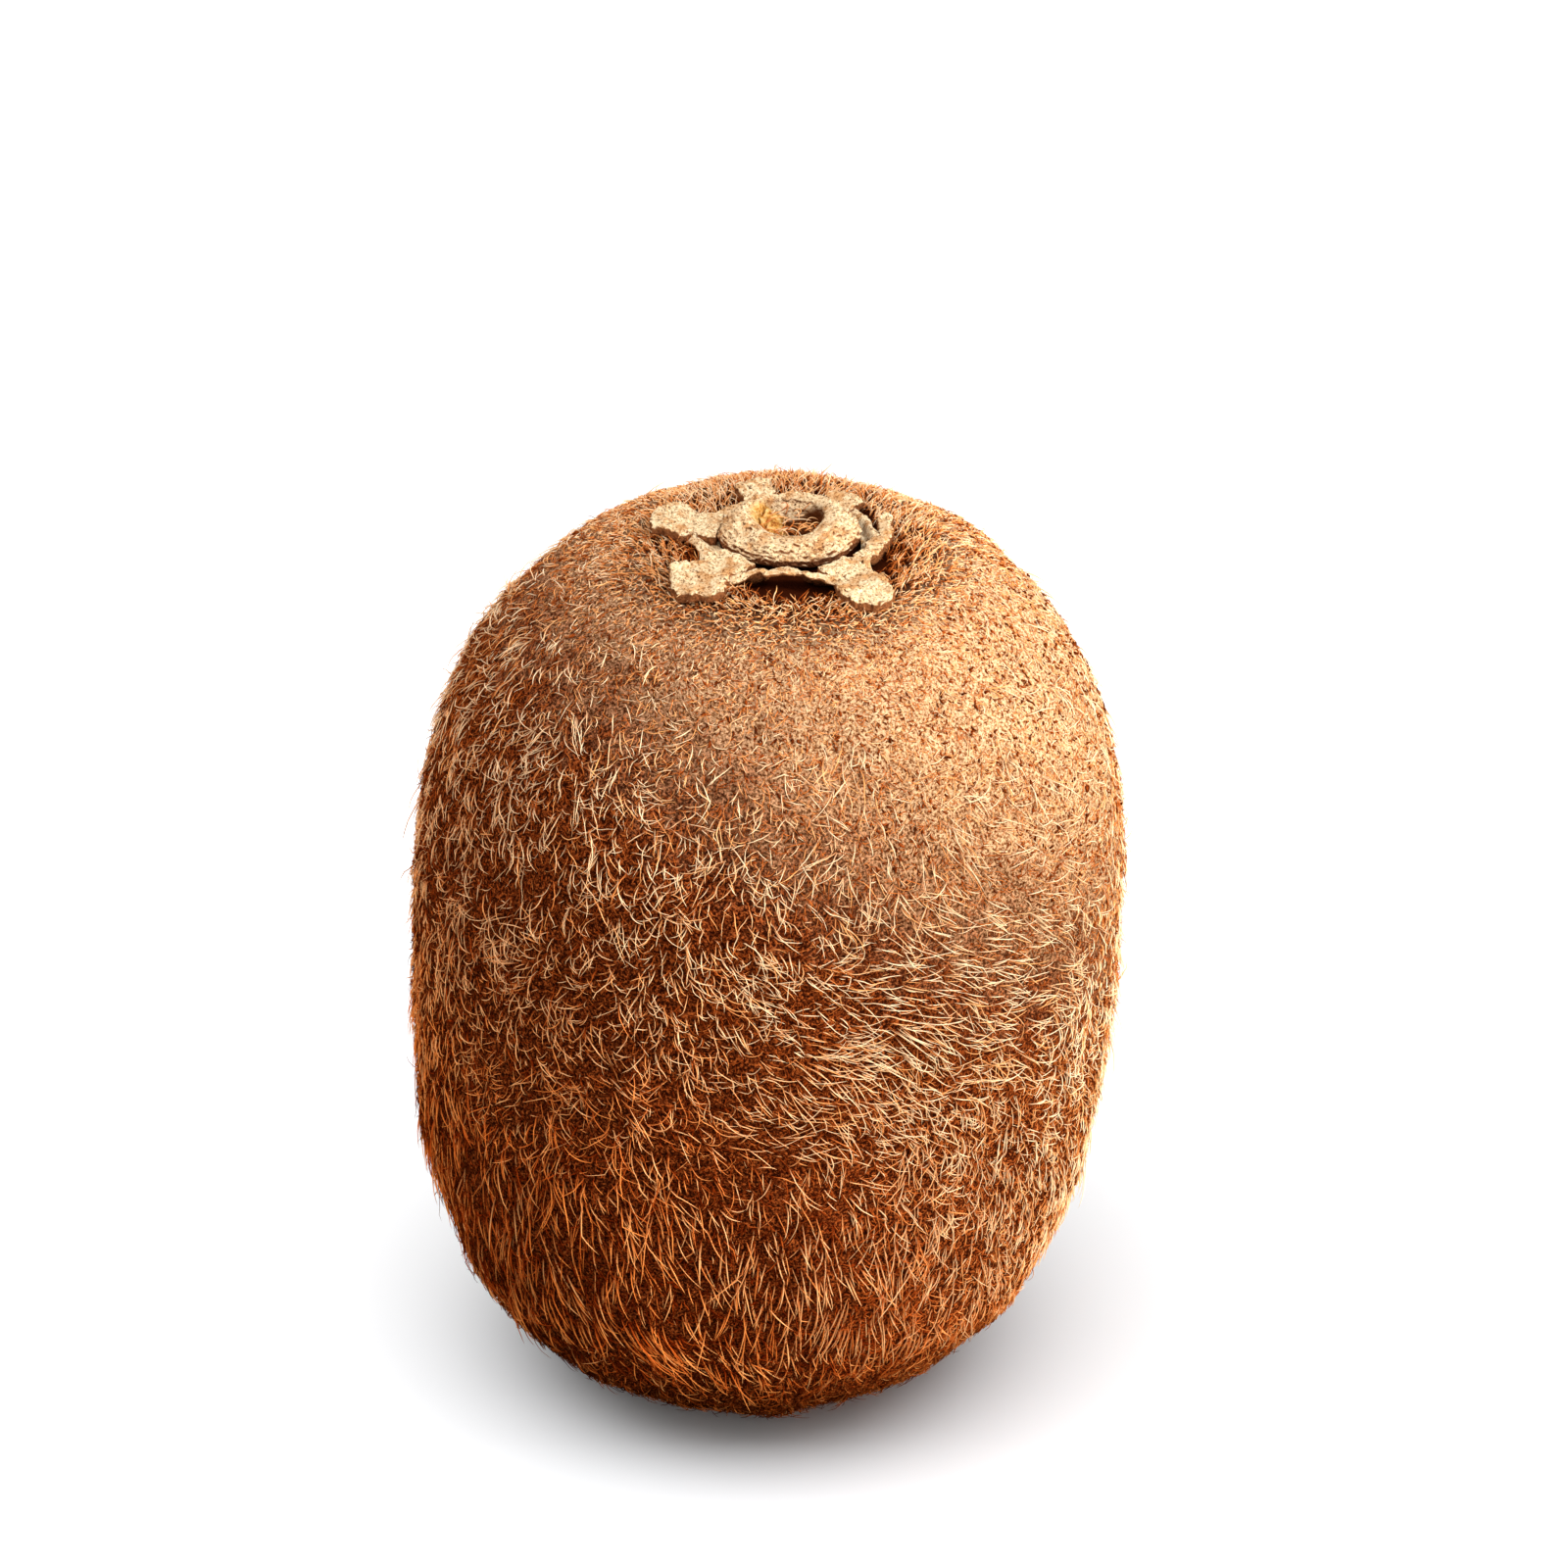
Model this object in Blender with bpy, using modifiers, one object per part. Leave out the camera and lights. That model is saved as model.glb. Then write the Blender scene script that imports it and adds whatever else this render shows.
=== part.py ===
"""Whole kiwi fruit, standing on its blossom end with the stem end up.

Metres, +Z up.  The origin is under the middle of the fruit, on the surface it
stands on.  The fruit is one solid: an upright barrel of slightly oval section
that leans a little to +X, with a shallow basin round its stem scar and a small
flat on the blossom end, hollowed in the middle by a dimple.  The basin holds
the woody ring of the stem scar and six dried sepals.  The dimple holds the
dried knob that is left of the flower's styles.
"""
import math

import bmesh
import bpy

# ---- fruit: driving dimensions ----
FRUIT_RADIUS = 0.0254        # half the width across X, at the widest height
FRUIT_OVAL = 0.94            # depth along Y over width along X
WIDEST_HEIGHT = 0.0393       # height of the widest ring above the surface
UPPER_HEIGHT = 0.0292        # from the widest ring to the plain outline's top
UPPER_POWER = 2.38           # fullness of the upper outline: 2 is an ellipse
LOWER_HEIGHT = 0.0397        # the same two below the widest ring
LOWER_POWER = 3.0
UPPER_LEAN = 0.023           # shift of the axis towards +X for each unit of height
LOWER_LEAN = 0.034           # the same below the widest ring, where it leans more
BASIN_OFFSET = 0.0009        # the basin's centre from the axis, along X
BASIN_DEPTH = 0.0018
BASIN_RADIUS = 0.0085
DIMPLE_RADIUS = 0.0040
DIMPLE_DEPTH = 0.0014
COLUMNS = 56                 # faces round the fruit
ROWS = 36                    # faces from pole to pole

# ---- stem scar ----
GAP = 0.00035                # clearance between touching pieces
SCAR_RADIUS = 0.0052         # outside of the woody ring
SCAR_HEIGHT = 0.0016
SCAR_CREST_RADIUS = 0.0036   # where the ring is highest
CAVITY_RADIUS = 0.0024       # hollow left by the stalk
CAVITY_DEPTH = 0.0009
SCAR_STEPS = 32

# ---- sepals ----
SEPAL_ROOT = SCAR_RADIUS + 0.0004
SEPAL_THICKNESS = 0.0005
SEPAL_WAIST = 0.22           # how much narrower a sepal is at its waist
SEPAL_CUP = 0.0003           # rise of a sepal's two long edges
SEPAL_ROWS = 6
SEPAL_COLUMNS = 4
# name: bearing in degrees from +X, reach from the scar's centre, width, tip lift
SEPALS = {
    "sepal_right": (356, 0.0078, 0.0034, 0.0006),
    "sepal_back_right": (56, 0.0078, 0.0031, 0.0002),
    "sepal_back": (110, 0.0083, 0.0034, 0.0004),
    "sepal_left": (169, 0.0097, 0.0044, 0.0004),
    "sepal_front_left": (226, 0.0106, 0.0041, 0.0003),
    "sepal_front_right": (304, 0.0103, 0.0037, 0.0003),
}

# ---- blossom scar ----
KNOB_RADIUS = 0.0021
KNOB_HEIGHT = 0.0006
KNOB_STEPS = 20


def plain_outline(latitude):
    """Radius and height on the fruit's outline, without basin, flat or dimple."""
    side = max(math.cos(latitude), 0.0)
    rise = math.sin(latitude)
    height = UPPER_HEIGHT if rise > 0 else LOWER_HEIGHT
    power = UPPER_POWER if rise > 0 else LOWER_POWER
    norm = (side ** power + abs(rise) ** power) ** (1 / power)
    return FRUIT_RADIUS * side / norm, WIDEST_HEIGHT + height * rise / norm


def basin_drop(x, y):
    """Depth of the basin under a point, x and y measured from the fruit's axis."""
    return BASIN_DEPTH * math.exp(-(math.hypot(x - BASIN_OFFSET, y) / BASIN_RADIUS) ** 4)


def top_height(x, y):
    """Height of the skin near the stem end, x and y measured from the axis."""
    share = math.hypot(x, y / FRUIT_OVAL) / FRUIT_RADIUS
    plain = WIDEST_HEIGHT + UPPER_HEIGHT * (1 - share ** UPPER_POWER) ** (1 / UPPER_POWER)
    return plain - basin_drop(x, y)


def lean_shift(z):
    """How far the axis has moved along X at a height."""
    lean = UPPER_LEAN if z > WIDEST_HEIGHT else LOWER_LEAN
    return lean * (z - WIDEST_HEIGHT)


def skin_point(latitude, longitude):
    """A point of the fruit's surface."""
    radius, z = plain_outline(latitude)
    x = radius * math.cos(longitude)
    y = radius * math.sin(longitude) * FRUIT_OVAL
    if latitude > 0:
        z -= basin_drop(x, y)
    else:
        share = min(radius / DIMPLE_RADIUS, 1.0)
        z = max(z, DIMPLE_DEPTH * (1 - share ** 2) ** 2)
    return x + lean_shift(z), y, z


# ---- where the small pieces sit ----
STEM_X = lean_shift(WIDEST_HEIGHT + UPPER_HEIGHT) + BASIN_OFFSET
SCAR_BASE = GAP + max(
    top_height(BASIN_OFFSET + SCAR_RADIUS * math.cos(turn), SCAR_RADIUS * math.sin(turn))
    for turn in (math.tau * step / SCAR_STEPS for step in range(SCAR_STEPS))
)
BLOSSOM_X = lean_shift(0.0)


def clear_scene():
    """Remove every object that the file opened with."""
    for item in list(bpy.data.objects):
        bpy.data.objects.remove(item, do_unlink=True)


def make_material(name, colour, roughness):
    """A plain surface of one colour."""
    material = bpy.data.materials.new(name)
    material.use_nodes = True
    shader = material.node_tree.nodes["Principled BSDF"]
    shader.inputs["Base Color"].default_value = (*colour, 1.0)
    shader.inputs["Roughness"].default_value = roughness
    shader.inputs["Metallic"].default_value = 0.0
    return material


def add_object(name, mesh, material, collection):
    """Put a mesh in the collection as a smooth-shaded object."""
    mesh.materials.append(material)
    mesh.shade_smooth()
    item = bpy.data.objects.new(name, mesh)
    collection.objects.link(item)
    return item


def add_fruit(collection):
    """The fruit itself: a ball whose points are moved onto the kiwi's surface."""
    shape = bmesh.new()
    bmesh.ops.create_uvsphere(shape, u_segments=COLUMNS, v_segments=ROWS, radius=1.0)
    for vertex in shape.verts:
        x, y, z = vertex.co
        latitude = math.asin(max(-1.0, min(1.0, z)))
        vertex.co = skin_point(latitude, math.atan2(y, x))
    mesh = bpy.data.meshes.new("fruit")
    shape.to_mesh(mesh)
    shape.free()
    skin = make_material("fruit_skin", (0.36, 0.19, 0.08), 0.85)
    return add_object("fruit", mesh, skin, collection)


def add_turned(name, outline, steps, place, material, collection):
    """A closed turned piece from an outline of (radius, height), top to bottom."""
    shape = bmesh.new()
    points = [shape.verts.new((radius, 0.0, height)) for radius, height in outline]
    for upper, lower in zip(points, points[1:]):
        shape.edges.new((upper, lower))
    mesh = bpy.data.meshes.new(name)
    shape.to_mesh(mesh)
    shape.free()
    piece = add_object(name, mesh, material, collection)
    piece.location = place
    turn = piece.modifiers.new("turn", "SCREW")
    turn.axis = "Z"
    turn.steps = steps
    turn.render_steps = steps
    turn.use_merge_vertices = True
    turn.merge_threshold = 0.00001
    turn.use_smooth_shade = True
    return piece


def add_stem_scar(collection):
    """The woody ring round the hollow that the stalk came out of."""
    floor = SCAR_HEIGHT - CAVITY_DEPTH
    outline = (
        (0.0, floor),
        (CAVITY_RADIUS * 0.8, floor),
        (CAVITY_RADIUS, floor + CAVITY_DEPTH * 0.4),
        ((CAVITY_RADIUS + SCAR_CREST_RADIUS) / 2, SCAR_HEIGHT * 0.92),
        (SCAR_CREST_RADIUS, SCAR_HEIGHT),
        ((SCAR_CREST_RADIUS + SCAR_RADIUS) / 2, SCAR_HEIGHT * 0.86),
        (SCAR_RADIUS, SCAR_HEIGHT * 0.5),
        (SCAR_RADIUS * 0.97, 0.0),
        (0.0, 0.0),
    )
    wood = make_material("stem_wood", (0.52, 0.36, 0.20), 0.9)
    place = (STEM_X, 0.0, SCAR_BASE)
    return add_turned("stem_scar", outline, SCAR_STEPS, place, wood, collection)


def add_blossom_scar(collection):
    """The dried knob in the dimple of the blossom end, clear of the surface below."""
    outline = (
        (0.0, KNOB_HEIGHT),
        (KNOB_RADIUS * 0.7, KNOB_HEIGHT * 0.8),
        (KNOB_RADIUS, KNOB_HEIGHT * 0.3),
        (KNOB_RADIUS * 0.75, 0.0),
        (0.0, 0.0),
    )
    fibre = make_material("blossom_fibre", (0.13, 0.07, 0.035), 0.9)
    place = (BLOSSOM_X, 0.0, GAP)
    return add_turned("blossom_scar", outline, KNOB_STEPS, place, fibre, collection)


def add_sepal(name, bearing, reach, width, lift, material, collection):
    """One dried sepal: a bent grid that follows the basin, thickened upwards."""
    shape = bmesh.new()
    bmesh.ops.create_grid(shape, x_segments=SEPAL_ROWS, y_segments=SEPAL_COLUMNS, size=1.0)
    turn = math.radians(bearing)
    for vertex in shape.verts:
        along = (vertex.co.x + 1) / 2
        across = vertex.co.y
        waist = 1 - SEPAL_WAIST * math.sin(math.pi * min(along * 1.4, 1.0))
        outwards = SEPAL_ROOT + (reach - SEPAL_ROOT) * along
        sideways = across * waist * width / 2
        x = outwards * math.cos(turn) - sideways * math.sin(turn)
        y = outwards * math.sin(turn) + sideways * math.cos(turn)
        rise = GAP + lift * along ** 2 + SEPAL_CUP * across ** 2
        vertex.co = (STEM_X + x, y, top_height(BASIN_OFFSET + x, y) + rise)
    mesh = bpy.data.meshes.new(name)
    shape.to_mesh(mesh)
    shape.free()
    sepal = add_object(name, mesh, material, collection)
    thicken = sepal.modifiers.new("thickness", "SOLIDIFY")
    thicken.thickness = SEPAL_THICKNESS
    thicken.offset = 1.0
    return sepal


def build():
    """Build every piece of the kiwi fruit."""
    clear_scene()
    collection = bpy.data.collections.new("kiwi_fruit")
    bpy.context.scene.collection.children.link(collection)
    add_fruit(collection)
    add_stem_scar(collection)
    add_blossom_scar(collection)
    cork = make_material("sepal_cork", (0.60, 0.43, 0.24), 0.9)
    for name, (bearing, reach, width, lift) in SEPALS.items():
        add_sepal(name, bearing, reach, width, lift, cork, collection)


build()
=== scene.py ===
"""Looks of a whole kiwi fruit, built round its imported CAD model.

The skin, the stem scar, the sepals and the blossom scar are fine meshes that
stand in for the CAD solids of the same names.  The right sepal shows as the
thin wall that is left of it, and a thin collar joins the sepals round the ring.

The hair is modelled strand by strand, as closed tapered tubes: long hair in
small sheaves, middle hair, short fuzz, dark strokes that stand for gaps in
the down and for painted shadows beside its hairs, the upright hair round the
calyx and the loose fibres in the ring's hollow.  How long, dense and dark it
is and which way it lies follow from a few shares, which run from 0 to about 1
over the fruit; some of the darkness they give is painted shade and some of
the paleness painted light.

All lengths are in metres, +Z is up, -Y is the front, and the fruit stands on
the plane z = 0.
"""
import math

import bmesh
import bpy
import numpy as np
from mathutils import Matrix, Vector


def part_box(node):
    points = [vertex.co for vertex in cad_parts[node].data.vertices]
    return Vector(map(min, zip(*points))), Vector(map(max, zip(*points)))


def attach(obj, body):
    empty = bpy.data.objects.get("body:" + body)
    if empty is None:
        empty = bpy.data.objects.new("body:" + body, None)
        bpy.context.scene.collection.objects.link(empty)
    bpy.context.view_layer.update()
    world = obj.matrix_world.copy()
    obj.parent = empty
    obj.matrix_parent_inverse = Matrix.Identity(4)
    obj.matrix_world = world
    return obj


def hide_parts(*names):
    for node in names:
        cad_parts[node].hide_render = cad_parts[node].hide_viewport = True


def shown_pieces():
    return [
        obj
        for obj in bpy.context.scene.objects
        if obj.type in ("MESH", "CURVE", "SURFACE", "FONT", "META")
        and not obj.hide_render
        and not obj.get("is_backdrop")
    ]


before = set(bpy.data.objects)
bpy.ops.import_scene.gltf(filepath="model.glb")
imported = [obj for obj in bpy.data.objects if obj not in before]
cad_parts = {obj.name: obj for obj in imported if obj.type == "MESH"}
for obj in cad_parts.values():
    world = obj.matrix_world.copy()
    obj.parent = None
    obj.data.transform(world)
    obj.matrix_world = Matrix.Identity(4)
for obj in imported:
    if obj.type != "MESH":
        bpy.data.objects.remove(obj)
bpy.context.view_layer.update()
FRUIT_LOW, FRUIT_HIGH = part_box("fruit")
SCAR_LOW, SCAR_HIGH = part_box("stem_scar")
KNOB_LOW, KNOB_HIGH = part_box("blossom_scar")
MM = 0.001

# ---- the fruit's outline, as in the CAD model ----
WIDEST_HEIGHT = 39.3 * MM
UPPER_HEIGHT = 29.2 * MM
UPPER_POWER = 2.38
LOWER_HEIGHT = 39.7 * MM
LOWER_POWER = 3.0
UPPER_LEAN = 0.023           # shift of the axis towards +X for each unit of height
LOWER_LEAN = 0.034
BASIN_OFFSET = 0.9 * MM
BASIN_DEPTH = 1.8 * MM
BASIN_RADIUS = 8.5 * MM
DIMPLE_RADIUS = 4.0 * MM
DIMPLE_DEPTH = 1.4 * MM
FUZZ_DEPTH = 0.25 * MM       # the CAD solid's surface is this far above the skin
RADIUS_X = 25.4 * MM - FUZZ_DEPTH
RADIUS_Y = (FRUIT_HIGH.y - FRUIT_LOW.y) / 2 - FUZZ_DEPTH
STEM_X = (SCAR_LOW.x + SCAR_HIGH.x) / 2
SCAR_RADIUS = (SCAR_HIGH.x - SCAR_LOW.x) / 2
SCAR_BASE = SCAR_LOW.z - FUZZ_DEPTH
SCAR_TOP = SCAR_HIGH.z
BLOSSOM_X = (KNOB_LOW.x + KNOB_HIGH.x) / 2
HOLLOW_RADIUS = 2.4 * MM     # where the stalk came out of the ring
HOLLOW_BACK = 1.6 * MM       # the hollow's middle is this far behind the ring's

# ---- mesh sizes ----
SKIN_COLUMNS = 384
SKIN_ROWS = 250
MOST_TRIANGLES = 190000      # in one piece of hair
ROOT_DEPTH = 0.05 * MM       # of a hair's root in the skin
TAPER = 0.72                 # what a hair loses of its thickness towards its tip
MAP_STRIP = 0.002            # width, on the map, of each of a hair's three sides
SKIN_CLEAR = 0.10 * MM       # least heights over the floor: of the skin,
HAIR_CLEAR = 0.06 * MM       # of a hair's middle line
TUBE_CLEAR = 0.01 * MM       # and of its surface

# ---- where the coat changes; FROM and TO are distances along the side above them ----
SUNNY_SIDE = Vector((0.55, 0.16, 0.82)).normalized()      # the key-lit side, where the down is palest; in part painted light
PALE_FROM, PALE_TO = 35 * MM, 60 * MM
SHADED_SIDE = Vector((-0.70, -0.15, -0.70)).normalized()  # the shaded lower left; its redder, darker hair is painted shade
SHADED_FROM, SHADED_TO = -36 * MM, -2 * MM
BASE_SHADE_FROM, BASE_SHADE_TO = 12 * MM, 4 * MM                      # heights: painted shade darkens and greys the hair near the floor
SWEPT_LONGITUDE = -0.96      # where the hair lies level across the front
SWEPT_HEIGHT = 46 * MM
GLOW_LONGITUDE = -1.37       # the middle of the pale band down the front
GLOW_HEIGHT = 39.8 * MM
PATCH_LONGITUDE = -1.90      # the dark patch below the band, on the left
PATCH_HEIGHT = 32 * MM

# ---- how much hair there is ----
SHEAVES = 10000              # of long hair
MOST_IN_SHEAF = 3
MIDDLE_HAIRS = 30000
FUZZ_HAIRS = 56000
GAP_AND_SHADOW_STROKES = 6200
CROWN_HAIRS = 11500
FIBRES = 42

# ---- cork colours: pale tops, body, dark specks, and walls (browner, and painted shade) ----
SEPAL_COLOURS = (0.90, 0.76, 0.53), (0.68, 0.49, 0.28), (0.11, 0.04, 0.016), (0.28, 0.11, 0.045)
SCAR_COLOURS = (0.88, 0.72, 0.49), (0.66, 0.47, 0.27), (0.09, 0.030, 0.012), (0.24, 0.09, 0.040)
KNOB_COLOURS = (0.20, 0.10, 0.05), (0.12, 0.05, 0.02), (0.03, 0.01, 0.005), (0.05, 0.02, 0.01)


# ------------------------------ fields
def waves(points, size, seed, count=14):
    """A smooth random field of about unit strength, its lumps about size across."""
    rng = np.random.default_rng(seed)
    ways = rng.normal(size=(count, 3))
    ways /= np.linalg.norm(ways, axis=1, keepdims=True)
    pitch = 2 * math.pi / (size * rng.uniform(0.7, 1.6, (count, 1)))
    phase = rng.uniform(0, 2 * math.pi, count)
    return np.sin(points @ (ways * pitch).T + phase).sum(-1) * math.sqrt(2 / count)


def smooth_step(low, high, value):
    """0 below low, 1 above high and a smooth rise between."""
    share = np.clip((value - low) / (high - low), 0, 1)
    return share * share * (3 - 2 * share)


def unit(vectors):
    """The vectors at length 1."""
    return vectors / np.maximum(np.linalg.norm(vectors, axis=-1, keepdims=True), 1e-12)


# ------------------------------ the surface
def skin_points(latitude, longitude):
    """Points of the skin; latitude and longitude are arrays of angles."""
    side = np.maximum(np.cos(latitude), 0)
    rise = np.sin(latitude)
    height = np.where(rise > 0, UPPER_HEIGHT, LOWER_HEIGHT) - FUZZ_DEPTH
    power = np.where(rise > 0, UPPER_POWER, LOWER_POWER)
    norm = (side ** power + np.abs(rise) ** power) ** (1 / power)
    x = RADIUS_X * side / norm * np.cos(longitude)
    y = RADIUS_Y * side / norm * np.sin(longitude)
    z = WIDEST_HEIGHT + height * rise / norm
    basin = BASIN_DEPTH * np.exp(-(np.hypot(x - BASIN_OFFSET, y) / BASIN_RADIUS) ** 4)
    hollow = np.clip(1 - (np.hypot(x, y) / DIMPLE_RADIUS) ** 2, 0, 1) ** 2
    z = np.where(rise > 0, z - basin, np.maximum(z, FUZZ_DEPTH + DIMPLE_DEPTH * hollow))
    lean = np.where(z > WIDEST_HEIGHT, UPPER_LEAN, LOWER_LEAN)
    return np.stack([x + lean * (z - WIDEST_HEIGHT), y, z], -1)


def skin_frames(latitude, longitude):
    """Skin points with their normals and their tangents down and to the east."""
    step = 0.002
    latitude = np.clip(latitude, -math.pi / 2 + 2 * step, math.pi / 2 - 2 * step)
    points = skin_points(latitude, longitude)
    down = unit(skin_points(latitude - step, longitude) - skin_points(latitude + step, longitude))
    east = unit(skin_points(latitude, longitude + step) - skin_points(latitude, longitude - step))
    return points, unit(np.cross(down, east)), down, east


def skin_lumps(points):
    """How far the skin's larger lumps rise at each point."""
    return 0.10 * MM * waves(points, 7 * MM, 1) + 0.05 * MM * waves(points, 2.6 * MM, 2)


def top_height(x, y):
    """Height of the skin near the stem end; x and y are world positions."""
    x = x - UPPER_LEAN * UPPER_HEIGHT
    share = np.hypot(x / RADIUS_X, y / RADIUS_Y)
    plain = (1 - np.minimum(share, 0.98) ** UPPER_POWER) ** (1 / UPPER_POWER)
    basin = BASIN_DEPTH * np.exp(-(np.hypot(x - BASIN_OFFSET, y) / BASIN_RADIUS) ** 4)
    return WIDEST_HEIGHT + (UPPER_HEIGHT - FUZZ_DEPTH) * plain - basin


# ------------------------------ materials
def new_material(name, roughness):
    """An empty material: its tree, its shader and a helper that adds nodes."""
    material = bpy.data.materials.new(name)
    material.use_nodes = True
    tree = material.node_tree
    shader = tree.nodes["Principled BSDF"]
    shader.inputs["Roughness"].default_value = roughness
    shader.inputs["Specular IOR Level"].default_value = 0.0

    def node(kind, **values):
        made = tree.nodes.new("ShaderNode" + kind)
        for key, value in values.items():
            if key in made.inputs:
                made.inputs[key].default_value = value
            else:
                setattr(made, key, value)
        return made

    return material, tree.links.new, shader, node


def ramp(node, stops):
    """A colour ramp through (place, colour) stops."""
    made = node("ValToRGB")
    elements = made.color_ramp.elements
    while len(elements) < len(stops):
        elements.new(0.5)
    for element, (place, colour) in zip(elements, stops):
        element.position = place
        element.color = (*colour, 1.0)
    return made


def noise_at(node, link, place, size, detail=4.0, roughness=0.6):
    """Noise whose lumps are about size across."""
    made = node("TexNoise", Scale=1 / size, Detail=detail, Roughness=roughness)
    link(place.outputs["Object"], made.inputs["Vector"])
    return made


def mixed(node, link, factor, first, second, blend="MIX"):
    """Mixes two colours; each is a socket or a plain colour."""
    made = node("Mix", data_type="RGBA", blend_type=blend)
    sockets = made.inputs[0], made.inputs[6], made.inputs[7]
    for socket, value in zip(sockets, (factor, first, second)):
        if isinstance(value, bpy.types.NodeSocket):
            link(value, socket)
        elif isinstance(value, tuple):
            socket.default_value = (*value, 1.0)
        else:
            socket.default_value = value
    return made.outputs[2]


def reach_of(node, link, place, point, low, high):
    """0 within low of a point and 1 beyond high, in metres."""
    gap = node("VectorMath", operation="DISTANCE")
    link(place.outputs["Object"], gap.inputs[0])
    gap.inputs[1].default_value = point
    shape = node("MapRange", interpolation_type="SMOOTHSTEP")
    shape.inputs["From Min"].default_value = low
    shape.inputs["From Max"].default_value = high
    link(gap.outputs["Value"], shape.inputs["Value"])
    return shape.outputs[0]


def bumped(node, link, shader, height, distance):
    """Gives the shader a bump from a height socket."""
    bump = node("Bump", Distance=distance, Strength=1.0)
    link(height, bump.inputs["Height"])
    link(bump.outputs["Normal"], shader.inputs["Normal"])


def share_along(node, link, place, way, low, high, wander=None):
    """0 to 1 along a direction, its border moved about by a noise."""
    along = node("VectorMath", operation="DOT_PRODUCT")
    link(place.outputs["Object"], along.inputs[0])
    along.inputs[1].default_value = way
    value = along.outputs["Value"]
    if wander:
        drift = node("MapRange")
        drift.inputs["To Min"].default_value = -8 * MM
        drift.inputs["To Max"].default_value = 8 * MM
        link(wander, drift.inputs["Value"])
        total = node("Math", operation="ADD")
        link(value, total.inputs[0])
        link(drift.outputs[0], total.inputs[1])
        value = total.outputs[0]
    share = node("MapRange", interpolation_type="SMOOTHSTEP")
    share.inputs["From Min"].default_value = low
    share.inputs["From Max"].default_value = high
    link(value, share.inputs["Value"])
    return share.outputs[0]


def skin_material():
    """Brown leathery skin of fine grains, paler where its down is thick, in part painted light; painted
    shade round the calyx.
    """
    material, link, shader, node = new_material("kiwi_skin", 0.8)
    place = node("TexCoord")
    mottle = noise_at(node, link, place, 1.6 * MM)
    grain = noise_at(node, link, place, 0.20 * MM, 2.0, 0.7)
    dark = ramp(node, (
        (0.42, (0.018, 0.003, 0.001)),
        (0.52, (0.085, 0.016, 0.004)),
        (0.64, (0.360, 0.086, 0.019)),
    ))
    link(grain.outputs[0], dark.inputs[0])
    pale = ramp(node, (
        (0.36, (0.110, 0.022, 0.005)),
        (0.46, (0.400, 0.200, 0.088)),
        (0.60, (0.660, 0.500, 0.320)),
    ))
    link(grain.outputs[0], pale.inputs[0])
    # Paler towards the lit shoulder: pale down, and in part painted light.
    patch = share_along(node, link, place, SUNNY_SIDE, PALE_FROM, PALE_TO, mottle.outputs[0])
    coat = mixed(node, link, patch, dark.outputs[0], pale.outputs[0])
    # Painted shade: the skin turns near black round the calyx, in its shadowed pit.
    stem = reach_of(node, link, place, (STEM_X, 0, SCAR_TOP), 9.0 * MM, 15.0 * MM)
    coat = mixed(node, link, stem, (0.030, 0.006, 0.002), coat)
    link(coat, shader.inputs["Base Color"])
    bumped(node, link, shader, grain.outputs[0], 0.16 * MM)
    return material


def hair_material():
    """Hair: across its map each strand has its own tone, along it root to tip."""
    material, link, shader, node = new_material("kiwi_hair", 0.5)
    place = node("TexCoord")
    chart = node("UVMap", uv_map="OFBake")
    parts = node("SeparateXYZ")
    link(chart.outputs[0], parts.inputs[0])
    tone = ramp(node, (
        (0.0, (0.060, 0.010, 0.002)),
        (0.25, (0.280, 0.055, 0.009)),
        (0.5, (0.630, 0.184, 0.039)),
        (0.75, (0.920, 0.490, 0.195)),
        (1.0, (0.990, 0.840, 0.600)),
    ))
    link(parts.outputs["X"], tone.inputs[0])
    # Painted shade: the hair is tinted redder towards the shaded lower left.
    shade_tint = share_along(node, link, place, SHADED_SIDE, SHADED_FROM, SHADED_TO)
    warm = mixed(node, link, shade_tint, (1.0, 1.0, 1.0), (1.0, 0.60, 0.34))
    root = ramp(node, ((0.0, (0.40, 0.18, 0.08)), (0.45, (1, 1, 1))))
    link(parts.outputs["Y"], root.inputs[0])
    # Painted shade: near the floor the hair turns a dull dark grey-brown.
    base = share_along(node, link, place, (0, 0, -1), -BASE_SHADE_FROM, -BASE_SHADE_TO)
    warm = mixed(node, link, base, warm, (0.34, 0.30, 0.26))
    colour = mixed(node, link, 1.0, tone.outputs[0], warm, "MULTIPLY")
    colour = mixed(node, link, 1.0, colour, root.outputs[0], "MULTIPLY")
    link(colour, shader.inputs["Base Color"])
    dull = node("MapRange")
    dull.inputs["To Min"].default_value = 0.65
    dull.inputs["To Max"].default_value = 0.42
    link(parts.outputs["Y"], dull.inputs["Value"])
    link(dull.outputs[0], shader.inputs["Roughness"])
    return material


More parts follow.
